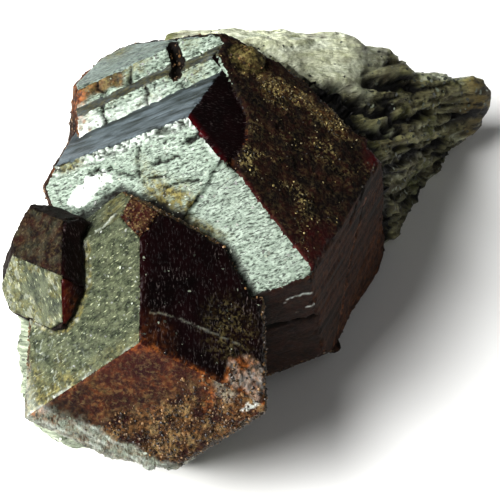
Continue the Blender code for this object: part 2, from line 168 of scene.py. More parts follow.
# What is sown: shape, host's node, name, and the attribute that says where; then the most a square
# millimetre, the spacing, the smallest and largest half width (mm), and the tilt (degrees).
SOWN = (
    ("scales", "large_garnet", "mica_scales_large", "scaly", 2.0, 0.3, 0.06, 0.26, 10),
    ("scales", "front_garnet", "mica_scales_front", "scaly", 3.6, 0.22, 0.06, 0.24, 16),
    ("scales", "small_garnet", "mica_scales_small", "scaly", 4.0, 0.2, 0.06, 0.18, 16),
    ("scales", "schist_matrix", "mica_scales_rock", "scaly", 2.0, 0.3, 0.10, 0.40, 18),
    ("sand", "front_garnet", "garnet_sand_front", "sandy", 5.0, 0.24, 0.12, 0.34, 180),
    ("sand", "large_garnet", "garnet_sand_large", "sandy", 2.5, 0.3, 0.12, 0.32, 180),
    ("gilt", "large_garnet", "golden_crumbs", "gilded", 5.0, 0.2, 0.07, 0.22, 180),
)


def hex_colour(code):
    """Linear colour, with alpha, of an sRGB hex code."""
    parts = [int(code[i:i + 2], 16) / 255 for i in (1, 3, 5)]
    linear = [c / 12.92 if c <= 0.04045 else ((c + 0.055) / 1.055) ** 2.4 for c in parts]
    return (*linear, 1.0)


# --- noise over arrays of points ----------------------------------------------

def corner_value(cell, seed):
    """A repeatable number in -1..1 for each whole-numbered corner."""
    mixed = (cell[:, 0] * 73856093) ^ (cell[:, 1] * 19349663) ^ (cell[:, 2] * 83492791)
    mixed = (mixed ^ ((SEED + seed) * 40503)) & 0xFFFFFFFF
    mixed = ((mixed ^ (mixed >> 13)) * 1274126177) & 0xFFFFFFFF
    return ((mixed ^ (mixed >> 16)) & 0xFFFF) / 32767.5 - 1.0


def noise(points, seed):
    """Smooth value noise in -1..1 at each point."""
    cell = np.floor(points).astype(np.int64)
    part = points - cell
    part = part ** 3 * (part * (part * 6 - 15) + 10)
    total = np.zeros(len(points))
    for corner in range(8):
        step = np.array((corner & 1, corner >> 1 & 1, corner >> 2 & 1))
        share = np.prod(np.where(step, part, 1 - part), axis=1)
        total += share * corner_value(cell + step, seed)
    return total


def rough(points, seed, octaves=4):
    """Noise summed over octaves, each twice as fine and half as strong."""
    return sum(noise(points * 2.0 ** i + 17.3 * i, seed + i) / 2.0 ** i for i in range(octaves)) / 1.6


def ease(value, low, high):
    """0 below low, 1 above high, smooth between; falls instead if low is above high."""
    part = np.clip((value - low) / (high - low), 0, 1)
    return part * part * (3 - 2 * part)


def cells(points, seed):
    """For each point in rounded cells about 1 across: its depth from the border, and its cell's number."""
    base = np.floor(points).astype(np.int64)
    near = np.full(len(points), 9.0)
    second = near.copy()
    own = np.zeros(len(points))
    for step in itertools.product((-1, 0, 1), repeat=3):
        cell = base + step
        shift = np.column_stack([corner_value(cell, seed + i) for i in range(3)])
        away = np.linalg.norm(points - cell - 0.5 - 0.42 * shift, axis=1)
        closer = away < near
        second = np.where(closer, near, np.minimum(second, away))
        own = np.where(closer, corner_value(cell, seed + 3), own)
        near = np.minimum(near, away)
    return second - near, own


def stretched(places, along, across):
    """Places on a face scaled to noise points; the number that tells the faces apart stays."""
    return np.column_stack((places[:, 0] / along, places[:, 1] / across, places[:, 2]))


# --- dense meshes ---------------------------------------------------------------

def new_object(name, mesh):
    """An object of that mesh, lamp or camera, in the scene."""
    made = bpy.data.objects.new(name, mesh)
    bpy.context.scene.collection.objects.link(made)
    return made


def settled(thing):
    """The mesh that an object's modifiers make, as plain data."""
    graph = bpy.context.evaluated_depsgraph_get()
    return bpy.data.meshes.new_from_object(thing.evaluated_get(graph))


def welded_copy(node, name):
    """A CAD node's mesh with its loose triangles joined; the node itself stays as it is."""
    bm = bmesh.new()
    bm.from_mesh(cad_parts[node].data)
    bmesh.ops.remove_doubles(bm, verts=bm.verts, dist=WELD)
    mesh = bpy.data.meshes.new(name)
    bm.to_mesh(mesh)
    bm.free()
    return new_object(name, mesh)


def dense_copy(node, name, cell):
    """A CAD solid as even cells: voxel remeshed, then laid back on its own planes."""
    guide = welded_copy(node, name + "_guide")
    piece = welded_copy(node, name)
    remesh = piece.modifiers.new("cells", "REMESH")
    remesh.mode = "VOXEL"
    remesh.voxel_size = cell * MM
    remesh.use_smooth_shade = True
    wrap = piece.modifiers.new("onto_planes", "SHRINKWRAP")
    wrap.target = guide
    wrap.wrap_method = "NEAREST_SURFACEPOINT"
    mesh = settled(piece)
    piece.modifiers.clear()
    piece.data = mesh
    bpy.data.objects.remove(guide)
    return piece


def fetched(items, field, width, kind=np.float32):
    """A field of every item, in rows of that width."""
    flat = np.empty(len(items) * width, kind)
    items.foreach_get(field, flat)
    return flat.reshape(-1, width)


def places_of(mesh):
    """The vertices' places in millimetres."""
    return fetched(mesh.vertices, "co", 3).astype(float) / MM


def corners_of(mesh):
    """For each face corner, its vertex and its polygon; and each polygon's normal and middle."""
    vertex = fetched(mesh.loops, "vertex_index", 1, np.int32)[:, 0]
    count = fetched(mesh.polygons, "loop_total", 1, np.int32)[:, 0]
    polygon = np.repeat(np.arange(len(count)), count)
    normal = fetched(mesh.polygons, "normal", 3).astype(float)
    return vertex, polygon, normal, fetched(mesh.polygons, "center", 3) / MM


def set_within_box(mesh, places):
    """Put the vertices at places in metres, but never past the specimen's own box."""
    kept = np.clip(places, *CAD_BOX)
    mesh.vertices.foreach_set("co", kept.astype(np.float32).ravel())
    mesh.update()


def store(mesh, name, values, domain="CORNER"):
    """Keep numbers or vectors as an attribute that the materials and the sowing read."""
    kind = "FLOAT" if values.ndim == 1 else "FLOAT_VECTOR"
    layer = mesh.attributes.new(name, kind, domain)
    layer.data.foreach_set("value" if kind == "FLOAT" else "vector", values.astype(np.float32).ravel())


class Crystal:
    """A garnet's own axes and faces: which face a point lies on, and where on that face."""

    def __init__(self, attitude, middle, faces):
        """Attitude in degrees, middle in millimetres, and a table of faces as above."""
        self.turn = np.array(Euler([math.radians(a) for a in attitude]).to_matrix())
        self.middle = np.array(middle)
        self.names, planes, runs, distances = [], [], [], []
        for name, plane, heights, run in faces:
            for height in heights:
                plane_unit = np.array(plane, float) / np.linalg.norm(plane)
                along = np.array(run, float) - plane_unit * plane_unit.dot(run)
                self.names.append(name)
                planes.append(plane_unit)
                runs.append(along / np.linalg.norm(along))
                distances.append(height)
        self.planes, self.runs, self.distances = np.array(planes), np.array(runs), np.array(distances)
        self.kinds = {name: i for i, name in enumerate(dict.fromkeys(self.names))}
        self.kind_of = np.array([self.kinds[name] for name in self.names] + [-1])

    def own(self, places):
        """Places on the specimen, in the crystal's own axes."""
        return (places - self.middle) @ self.turn

    def specimen(self, here):
        """Points in the crystal's own axes, as places on the specimen."""
        return here @ self.turn.T + self.middle

    def onto_edges(self, here, reach):
        """Points that lie within reach of two or more faces, moved onto the edge or corner they share."""
        moved = here.copy()
        off = here @ self.planes.T - self.distances
        near = np.abs(off) < reach
        for point in np.flatnonzero(near.sum(axis=1) > 1):
            own = near[point]
            step = np.linalg.pinv(self.planes[own], rcond=0.1) @ -off[point, own]
            if np.linalg.norm(step) < 2 * reach:
                moved[point] += step
        return moved

    def nearest_face(self, here, normals):
        """Index of the plane that each point lies on, or -1 where it is broken rock or grain."""
        off = np.abs(here @ self.planes.T - self.distances)
        match = (normals @ self.turn) @ self.planes.T - OFF_PLANE_COST * off
        best = np.argmax(match, axis=1)
        return np.where(match[np.arange(len(best)), best] > LEAST_MATCH, best, -1)

    def in_face(self, here, face):
        """Millimetres along and across the striations, and a number apart for each face."""
        run = np.where(face[:, None] < 0, np.array((1.0, 0, 0)), self.runs[face])
        plane = np.where(face[:, None] < 0, np.array((0, 0, 1.0)), self.planes[face])
        along = np.einsum("ij,ij->i", here, run)
        across = np.einsum("ij,ij->i", here, np.cross(plane, run))
        return np.column_stack((along, across, 3.7 * self.kind_of[face]))

    def below(self, here, name):
        """Millimetres from each point out to the plane of a face."""
        index = self.names.index(name)
        return self.distances[index] - here @ self.planes[index]

    def on_each(self, face, *names):
        """For each name, 1 on the faces that have it and 0 elsewhere."""
        return [(self.kind_of[face] == self.kinds[name]).astype(float) for name in names]


def solved_slide():
    """How far the specimen slid over the origin, from three faces of the front crystal."""
    crystal = Crystal(FRONT_ATTITUDE, (0, 0, 0), FRONT_FACES[:3])
    own = places_of(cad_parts["front_garnet"].data) @ crystal.turn
    reach = (own @ crystal.planes.T).max(axis=0) - crystal.distances
    middle = crystal.turn @ np.linalg.solve(crystal.planes, reach)
    return middle - FRONT_MIDDLE


def ridge_lines(points, seed, width):
    """1 on thin wavering lines, 0 away from them."""
    return ease(np.abs(noise(points, seed) + 0.4 * noise(points * 2.3, seed + 9)), width, 0.3 * width)


def drawn(spot, paths, width, seed, waver=0.3):
    """1 on lines laid over a face, 0 a width away; they waver a little."""
    place = spot[:, :2] + waver * np.column_stack((noise(spot / 0.9, seed), noise(spot / 0.9, seed + 1)))
    nearest = np.full(len(spot), 99.0)
    for path in paths:
        for start, end in zip(path, path[1:]):
            run = np.subtract(end, start)
            share = np.clip((place - start) @ run / run.dot(run), 0, 1)
            nearest = np.minimum(nearest, np.linalg.norm(place - start - share[:, None] * run, axis=1))
    return ease(nearest, width, 0.35 * width)


def patch(spot, middle, reach):
    """1 at a place on a face, fading to 0 at its reach along and across."""
    away = np.hypot((spot[:, 0] - middle[0]) / reach[0], (spot[:, 1] - middle[1]) / reach[1])
    return ease(away, 1.0, 0.3)


def grains(points, seed):
    """Rounded grains about 1 across: relief 0 at their borders to 1, and a number for each grain."""
    depth, own = cells(points, seed)
    return np.sqrt(np.clip(depth * 1.6, 0, 1)), own


def distance_from(places, node):
    """Millimetres from each place to the surface of a CAD solid."""
    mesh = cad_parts[node].data
    tree = BVHTree.FromPolygons([v.co for v in mesh.vertices], [p.vertices for p in mesh.polygons])
    return np.array([tree.find_nearest(place)[3] for place in places * MM]) / MM


def distance_to(points, marks):
    """Distance from each point to the nearest of the marks."""
    tree = KDTree(len(marks))
    for i, mark in enumerate(marks):
        tree.insert(mark, i)
    tree.balance()
    return np.array([tree.find(point)[2] for point in points])


def large_look(crystal, here, face, near):
    """Relief in millimetres and marks on the large crystal."""
    from_knob = (here @ crystal.turn.T + LARGE_MIDDLE - KNOB) / KNOB_SIZE
    knob = (np.linalg.norm(from_knob, axis=1) < 1).astype(float)
    face = np.where(knob > 0, -1, face)
    along_top = here @ crystal.runs[crystal.names.index("top")]
    below_top = crystal.below(here, "top")
    on_strip = (face < 0) & (below_top < STRIP_BELOW) & (along_top < STRIP_ALONG)
    face = np.where(on_strip, crystal.names.index("strip"), face)
    spot = crystal.in_face(here, face)
    a, b = spot[:, 0], spot[:, 1]
    past_riser = -crystal.below(here, "low_riser")
    to_right = crystal.below(here, "right")
    top, strip, tread, low_riser, mid_riser, high_riser = crystal.on_each(
        face, "top", "strip", "tread", "low_riser", "mid_riser", "high_riser")
    right, bare, wall, flank, rough_flank = crystal.on_each(
        face, "right", "bare", "wall", "flank", "rough_flank")
    broken = 1.0 * (face < 0)
    risers = low_riser + mid_riser + high_riser
    film = top + tread

    cracks = top * drawn(spot, TOP_CRACKS, 0.28, 0, 0.35) + tread * drawn(spot, TREAD_CRACKS, 0.32, 0, 0.2)
    stray = ridge_lines(stretched(spot, 9.0, 2.1), 1, 0.06) * ease(noise(spot / 2.5, 3), 0.05, 0.4)
    cracks = np.clip(cracks + 0.7 * film * stray, 0, 1)
    flake_depth, flake = cells(stretched(spot, 2.6, 1.1), 4)
    flake_edge = ease(flake_depth, 0.12, 0.02) * ease(noise(stretched(spot, 2.0, 1.2), 5), -0.3, 0.3)
    block_depth, block = cells(np.column_stack((a / 0.85, past_riser / 1.4, spot[:, 2])), 6)
    rim = top * ease(past_riser + 0.3 * noise(here / 0.8, 35), -1.5, -1.1)
    rim_gap = rim * np.maximum(ease(block_depth, 0.16, 0.03), ease(block, 0.75, 0.85))
    rim_block = rim * (1 - rim_gap)
    # A raised pale plate on the top face, painted as a bright highlight.
    highlit_plate = top * 0.9 * ease(drawn(spot, TOP_PLATE, 1.7, 7, 0.5), 0.15, 0.6)
    band = 0.5 * np.tanh(5 * noise(stretched(spot, 30.0, 1.5), 9))
    # The wall's groove is cut into the relief and painted dark as shade.
    shaded_groove = wall * drawn(spot, WALL_GROOVE, 1.1, 10)
    pits = flank * drawn(spot, FLANK_PITS, 0.55, 11) + 0.6 * flank * drawn(spot, FLANK_SEAM, 0.35, 12)
    crumb, crumb_tone = grains(here / CRUMB, 13)
    astray = spot + 2.2 * np.column_stack([noise(here / 2.3, 84 + i) for i in range(3)])
    gilt = 0.05 + 0.25 * ease(rough(here / 3.0, 87, 4), 0.0, 0.7)
    gilt += 0.9 * sum(strength * patch(astray, middle, reach) for middle, reach, strength in GILT_PATCHES)
    rim_band = right * drawn(astray, RIM_GOLD, 2.8, 34)
    gilt = np.clip(right * gilt + rim_band, 0, 1)

    height = film * (0.055 * flake - 0.07 * flake_edge)
    height += strip * (0.06 * flake + 0.08 * rough(stretched(spot, 0.9, 0.6), 15, 3))
    height += 0.18 * rim_block - 0.25 * rim_gap - CRACK_DEPTH * cracks + 0.10 * highlit_plate
    height += 0.30 * tread * ease(past_riser, 2.4, 3.2) * rough(here / 1.3, 108, 3)
    height += risers * 0.16 * rough(stretched(spot, 9.0, 0.9), 16, 3)
    height += right * (0.22 * crumb + 0.30 * rough(here / 3.0, 17, 3))
    height += bare * 0.02 * rough(here / 3.0, 18, 2)
    height += wall * (0.22 * band + 0.06 * rough(stretched(spot, 6.0, 0.8), 19, 3)) - GROOVE_DEPTH * shaded_groove
    height += flank * 0.24 * rough(stretched(spot, 9.0, 1.1), 20, 3) - PIT_DEPTH * pits
    height += rough_flank * 0.40 * rough(stretched(spot, 4.0, 1.4), 21, 3)
    height += broken * (0.12 * crumb + 0.34 * rough(here / 1.6, 22, 4))

    # Painted shade along where the front crystal meets the top face, darkest within the stain near it.
    contact_shade = 0.85 * ease(near["front_garnet"] + 0.4 * noise(here / 1.1, 31), 1.5, 0.5)
    left_of_step = ease(b, 6.0, 2.8)
    stain = ease(near["front_garnet"] + 1.3 * rough(here / 1.8, 23, 3), 6.4, 1.2)
    stain *= top * ease(a, 1.0, -1.5) * left_of_step
    contact_shade += 0.45 * stain * ease(near["front_garnet"] + 0.6 * noise(here / 1.4, 33), 3.2, 0.8)
    fault = broken * (1 - knob) * ease(past_riser, 0.2, 0.8) * (along_top < 4.0)
    far_tread = tread * ease(past_riser + 0.5 * noise(here / 1.2, 104), 2.7, 3.4)
    ochre = 1.5 * stain + strip * ease(near["front_garnet"], 2.4, 0.8) * left_of_step
    ochre += top * patch(spot, (10.3, -13.5), (4.2, 1.5)) + 0.5 * mid_riser + 0.5 * knob
    ochre += 0.45 * tread * ease(noise(stretched(spot, 4.0, 2.0), 24), 0.0, 0.5)
    ochre += 0.5 * far_tread * ease(a + rough(here / 1.5, 106, 3), -1.0, 1.5)
    ochre += 0.5 * high_riser * patch(spot, (3.0, -8.0), (4.0, 3.0))
    rust = broken * (1 - knob) * (0.75 * ease(past_riser, 0.5, 2.5) * ease(along_top, 4.0, 7.0)
                                  + 0.45 * ease(noise(here / 4.0, 36), 0.1, 0.6))
    rust += 0.4 * rough_flank + 0.22 * flank + 0.06 * wall
    rust += 0.7 * (tread + risers) * ease(a + rough(here / 2.0, 25), 9.4, 10.8) * ease(b, -15.0, -17.0)
    rust += 0.3 * far_tread * ease(a + 1.2 * rough(here / 1.3, 107, 3), 5.5, 7.5)
    rust += 0.7 * flank * drawn(spot, FLANK_SEAM, 0.9, 26)
    # Painted red glow of light through thin edges near the top, with red patches on the right face.
    red_tint_and_glow = (right + bare) * ease(below_top, 1.4, 0.2) * ease(noise(here / 3.0, 27), -0.7, 0.0)
    red_tint_and_glow += right * patch(spot, (-16.0, 1.0), (3.5, 5.0)) + 0.5 * right * patch(spot, (-2.0, 19.0), (6, 6))
    red_tint_and_glow += 0.7 * wall * ease(below_top, 0.8, 0.2) * ease(a, 14.0, 15.5)
    # Painted highlights: the pale plate, the rim's blocks, the top near its right edge, the lit tread and
    # glints on the wall.
    lit = ease(past_riser, 1.7, 0.8) * ease(a, -4.0, -1.0) + 0.7 * ease(a, 8.3, 9.0) * ease(b, -23.0, -22.0)
    glint = wall * drawn(spot, WALL_GLINTS, 0.2, 28, 0.5)
    pale_and_highlight = highlit_plate + 0.5 * rim_block + 0.35 * top * ease(to_right, 1.2, 0.3)
    pale_and_highlight += 0.45 * (tread * lit) * ease(noise(spot / 0.7, 32), -0.5, 0.2)
    pale_and_highlight += 0.5 * glint * ease(noise(spot / 0.7, 37), -0.4, 0.2)
    pale_and_highlight *= 1 - np.clip(ochre, 0, 1)
    # Painted shade in the contact, cracks, flake edges, the gaps between rim blocks, the wall groove, the
    # pits and the broken step past the riser. The low riser grows darker towards its lower left, the middle
    # riser is darker overall, and the strip, right face and flank get darker lines, grains and streaks.
    grime_and_shade = contact_shade + cracks + 0.85 * fault + 0.35 * flake_edge * film + 0.7 * rim_gap + shaded_groove + pits
    grime_and_shade += 0.45 * low_riser * ease(b - 5.0 - 0.195 * a, 3.0, 0.6) + 0.35 * mid_riser
    grime_and_shade += 0.25 * strip * ridge_lines(stretched(spot, 1.6, 0.6), 30, 0.09)
    grime_and_shade += 0.4 * right * ease(crumb_tone, -0.2, -0.9)
    grime_and_shade += 0.8 * flank * ease(rough(stretched(spot, 9.0, 1.4), 83, 3), 0.0, 0.5)
    marks = {
        "mica": top + 0.85 * strip + tread + 0.5 * high_riser,
        "slate": risers,
        "crust": right + broken + 0.6 * wall + 0.8 * flank + 0.8 * rough_flank,
        "granular": 0.9 * far_tread * ease(a + rough(here / 1.5, 105, 3), 3.2, 4.6) + 0.5 * rim_band,
        "gilt": gilt + 0.5 * knob,
        "ochre": ochre, "rust": rust, "red_tint_and_glow": red_tint_and_glow, "pale_and_highlight": pale_and_highlight, "grime_and_shade": grime_and_shade,
    }
    sown = {"scaly": 0.35 * film + 0.3 * strip + 0.04 * risers, "sandy": 0.3 * broken, "gilded": gilt}
    return height, marks, spot, sown


def front_look(crystal, here, face, near):
    """Relief in millimetres and marks on the front crystal."""
    spot = crystal.in_face(here, face)
    a, b = spot[:, 0], spot[:, 1]
    green, bevel, dark, brown, chip, rear = crystal.on_each(
        face, "green", "bevel", "dark", "brown", "chip", "rear")
    broken = 1.0 * (face < 0)
    film = green + bevel + rear
    to_brown, to_green = crystal.below(here, "brown"), crystal.below(here, "green")
    over = here @ BROWN_ACROSS
    down = BROWN_POINT - here[:, 0]
    low = ease(down - 0.3 * over + 2.4 * rough(here / 3.0, 39, 4), 9.5, 12.5)
    side = ease(-over + 1.5 * rough(here / 2.5, 40, 3), 10.0, 12.5)
    slope, rise = RIM_SLOPE
    to_rim = slope * here[:, 0] - rise * (over - RIM_START)
    rim = brown * ease(to_rim + 1.2 * rough(here / 1.5, 41, 3), 4.3, 3.1)
    skirt = broken * ease(to_rim + noise(here / 2.0, 67), 4.5, 2.5)
    fibre = np.column_stack(((-rise * here[:, 0] - slope * over) / 3.5, to_rim / 0.6, here[:, 2] / 3.0))
    climb = dark * ease(patch(spot, (-10.8, -6.6), (5.5, 5.0)) + 0.3 * rough(here / 1.5, 66, 3), 0.25, 0.5)
    granular = brown * np.maximum(low, side) * (1 - rim) + climb
    vein = dark * drawn(spot, DARK_VEIN, 0.17, 42) * ease(noise(spot / 1.5, 43), -0.9, -0.2)
    wrinkle = bevel * drawn(spot, BEVEL_WRINKLE, 0.5, 44, 0.5) * ease(noise(here / 0.8, 38), -0.6, 0.1)
    bead = grains(here / BEAD, 45)[0]
    fine_bead, fine_tone = grains(here / FINE_BEAD, 46)
    flake_depth, flake = cells(stretched(spot, 1.6, 0.8), 47)
    net = ridge_lines(stretched(spot, 1.0, 2.2), 48, 0.07) * ease(a + 2 * noise(spot / 3.0, 49), 1.0, -5.0)

    height = film * (0.13 * flake + 0.05 * rough(stretched(spot, 2.0, 0.7), 50, 3))
    height += film * 0.14 * rough(here / 3.0, 51, 2) + 0.04 * green * net + 0.22 * wrinkle
    height += dark * (0.05 * rough(stretched(spot, 1.6, 0.5), 52, 3) + 0.10 * rough(here / 4.0, 53, 2))
    height += granular * (0.34 * bead + 0.14 * fine_bead - 0.2) + brown * 0.12 * rough(here / 2.0, 54, 4)
    height += chip * (0.30 * fine_bead + 0.2 * rough(here / 1.5, 55, 3))
    height += broken * (0.30 * bead + 0.32 * rough(here / 1.4, 56, 4)) + 0.14 * vein
    height += (rim + skirt) * (0.20 + 0.30 * rough(fibre, 57, 3))

    touch_small = ease(near["small_garnet"] + 0.5 * noise(here / 0.9, 64), 1.0, 0.4)
    ochre = 0.6 * green * ease(a + 0.6 * b + 2.5 * noise(spot / 3.0, 58), -9.0, -15.0)
    ochre += 0.4 * vein + 0.6 * brown * drawn(spot, BROWN_GREENS, 0.9, 59, 0.6)
    ochre += 0.5 * bevel * patch(spot, (9.5, 4.0), (4.0, 6.0)) + 0.35 * green * ease(to_brown, 2.5, 1.0)
    ochre += 0.8 * touch_small * green
    rust = brown * 0.8 * patch(spot, (12.5, -1.0), (3.2, 4.5)) + brown * drawn(spot, BROWN_FLAME, 1.0, 60)
    rust += (0.9 * dark * (1 - climb) * ease(to_brown + 0.4 * noise(here / 1.3, 86), 1.1, 0.2)
             + 0.4 * brown * ease(to_green, 1.2, 0.4))
    rust += 0.2 * dark * patch(spot, (-6.0, 8.0), (5.0, 4.5)) + 0.35 * granular * side
    rust += 0.4 * brown * (1 - granular) * ease(rough(here / 2.5, 68, 3), -0.5, 0.5) + 0.6 * climb
    # Red tint on the brown face, with a painted red glow of light along thin edges and in the chip.
    red_tint_and_glow = (brown * (1 - granular) * (0.15 + 0.2 * ease(down, 10.0, 3.0))
             + 0.12 * dark * ease(to_green, 1.8, 0.3) + 0.35 * chip)
    # Pale rim and patches, and painted highlights: bright lines and specks on the green face, the bevel's
    # wrinkle and a glint on the brown face.
    pale_and_highlight = green * (0.3 * ease(to_brown, 0.55, 0.15) * ease(noise(here / 1.4, 65), -0.6, 0.3) + 0.22 * net)
    pale_and_highlight += 0.3 * wrinkle + 0.12 * vein + 0.24 * climb * ease(noise(here / 1.3, 82), -0.4, 0.6)
    pale_and_highlight += (0.2 * touch_small * green * ease(noise(here / 0.7, 69), -0.1, 0.5)
             + 0.2 * green * ease(a, -11.0, -14.0))
    pale_and_highlight += brown * (0.6 * drawn(spot, BROWN_GLINT, 0.8, 61, 0.6) * ease(fine_tone, -0.6, 0.2)
                     + 0.16 * drawn(spot, BROWN_GREENS[:1], 1.5, 62, 0.6))
    pale_and_highlight += 0.25 * (rim + skirt) * ease(noise(fibre, 79), -0.1, 0.5)
    # Painted shade where this crystal meets the large one, at the brown face's shaded end, in the chip,
    # between grains and at flake edges.
    grime_and_shade = (ease(near["large_garnet"], 1.2, 0.3) * (film + chip)
             + 0.6 * brown * drawn(spot, BROWN_SHADE, 2.2, 63))
    grime_and_shade += (chip * patch(spot, (2.0, -2.0), (2.4, 2.0))
              + 0.5 * (granular - 0.7 * climb) * ease(bead, 0.45, 0.1))
    grime_and_shade += 0.35 * film * ease(flake_depth, 0.12, 0.03)
    marks = {
        "mica": 0.75 * (rim + skirt),
        "chlorite": green + 0.8 * bevel + 0.9 * rear + 0.3 * broken + rim + skirt,
        "crust": chip + 0.6 * broken + 0.8 * brown * (1 - granular),
        "granular": granular + 0.5 * broken + 0.1 * chip,
        "gilt": 0.2 * dark * patch(spot, (-3.4, -4.0), (7.0, 6.0)) + 0.35 * chip + 0.15 * brown,
        "ochre": ochre, "rust": rust, "red_tint_and_glow": red_tint_and_glow, "pale_and_highlight": pale_and_highlight, "grime_and_shade": grime_and_shade,
    }
    sandy = granular * (0.35 + 0.65 * ease(noise(here / 2.4, 29), -0.3, 0.3))
    sown = {"scaly": 0.22 * green + 0.2 * bevel + 0.4 * rear + 0.7 * (rim + skirt) + 0.05 * dark,
            "sandy": sandy + 0.4 * chip + 0.6 * broken * (1 - skirt)}
    return height, marks, spot, sown


def small_look(crystal, here, face, near):
    """Relief in millimetres and marks on the small crystal."""
    spot = crystal.in_face(here, face)
    upper, lower, upper_right, corner = crystal.on_each(
        face, "upper_left", "lower_left", "upper_right", "lower_right")
    glassy = upper_right + corner
    broken = 1.0 * (face < 0)
    to_lower = crystal.below(here, "lower_left")
    rim = ease(rough(here / 2.2, 70, 2) + 0.08 * np.hypot(spot[:, 0] + 4.5, spot[:, 1] + 1), 0.2, 0.5)
    bead, tone = grains(here / SMALL_BEAD, 71)
    height = upper * (0.20 * bead + 0.18 * rough(here / 1.2, 72, 3))
    height += lower * (0.03 + 0.12 * rim * bead + 0.08 * rim * rough(here / 0.9, 73, 3))
    height += glassy * 0.02 * rough(here / 1.5, 74, 2) + broken * 0.15 * rough(here / 0.9, 75, 3)
    glow = ease(to_lower + 0.5 * noise(here / 0.7, 77), 2.0, 0.1)
    marks = {
        "chlorite": 0.2 * upper * ease(noise(here / 1.3, 76), -0.2, 0.4) + lower * (0.85 + 0.15 * rim),
        "crust": upper + 0.6 * broken,
        "gilt": 0.05 * upper,
        "ochre": 0.45 * lower * rim,
        "slate": 0.25 * lower * (1 - rim),
        "pale_and_highlight": 0.12 * lower * rim * ease(tone, 0.0, 0.6),
        # Painted red glow of light through the glassy faces near the lower left edge.
        "red_tint_and_glow": glassy * glow * (0.2 + 0.5 * corner),
        "rust": 0.35 * corner * ease(to_lower + noise(here / 0.9, 78), 2.6, 0.6),
        # Painted shade between the grains of the upper left face; broken parts darker.
        "grime_and_shade": 0.45 * upper * ease(bead, 0.5, 0.1) + 0.6 * broken,
    }
    return height, marks, spot, {"scaly": 0.5 * lower * rim, "sandy": 0.4 * upper}


def carry(piece, node):
    """Hang a dense piece on the body and let it stand in for its CAD node."""
    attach(piece, "root")
    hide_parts(node)
    return piece


def dressed_crystal(node, name, cell, crystal, look, *neighbours):
    """A crystal's piece: even cells, its edges worn, each face with its own relief and marks."""
    piece = dense_copy(node, name, cell)
    mesh = piece.data
    normals = fetched(mesh.vertex_normals, "vector", 3).astype(float)
    vertex, polygon, face_normals, middles = corners_of(mesh)
    here = crystal.onto_edges(crystal.own(places_of(mesh)), EDGE_REACH * cell)
    face = crystal.nearest_face(crystal.own(middles), face_normals)[polygon]
    key, pair = np.unique(vertex.astype(np.int64) * FACE_KEYS + face + 1, return_inverse=True)
    at, own_face = key // FACE_KEYS, key % FACE_KEYS - 1
    touched = np.bincount(at)
    places = crystal.specimen(here)
    near = {other: distance_from(places[at], other) for other in neighbours}
    height, marks, spot, sown = look(crystal, here[at], own_face, near)
    height = np.bincount(at, height) / touched
    to_edge = distance_to(here, here[touched > 1])
    worn = ease(to_edge, WORN_WIDTH + WORN_WAVER * noise(here / 2.3, 80), 0.0)
    chips = worn * ease(noise(here / 1.5, 81), 0.0, 0.6)
    height -= WEAR_DEPTH * worn + CHIP_DEPTH * chips
    nowhere = np.zeros(len(at))
    for mark in MARKS:
        store(mesh, mark, np.clip(marks.get(mark, 0.0) + nowhere, 0, 1)[pair])
    for field, values in sown.items():
        store(mesh, field, np.bincount(at, values) / touched, "POINT")
    store(mesh, "grain", spot[pair])
    set_within_box(mesh, (places + normals * height[:, None]) * MM)
    return carry(piece, node)


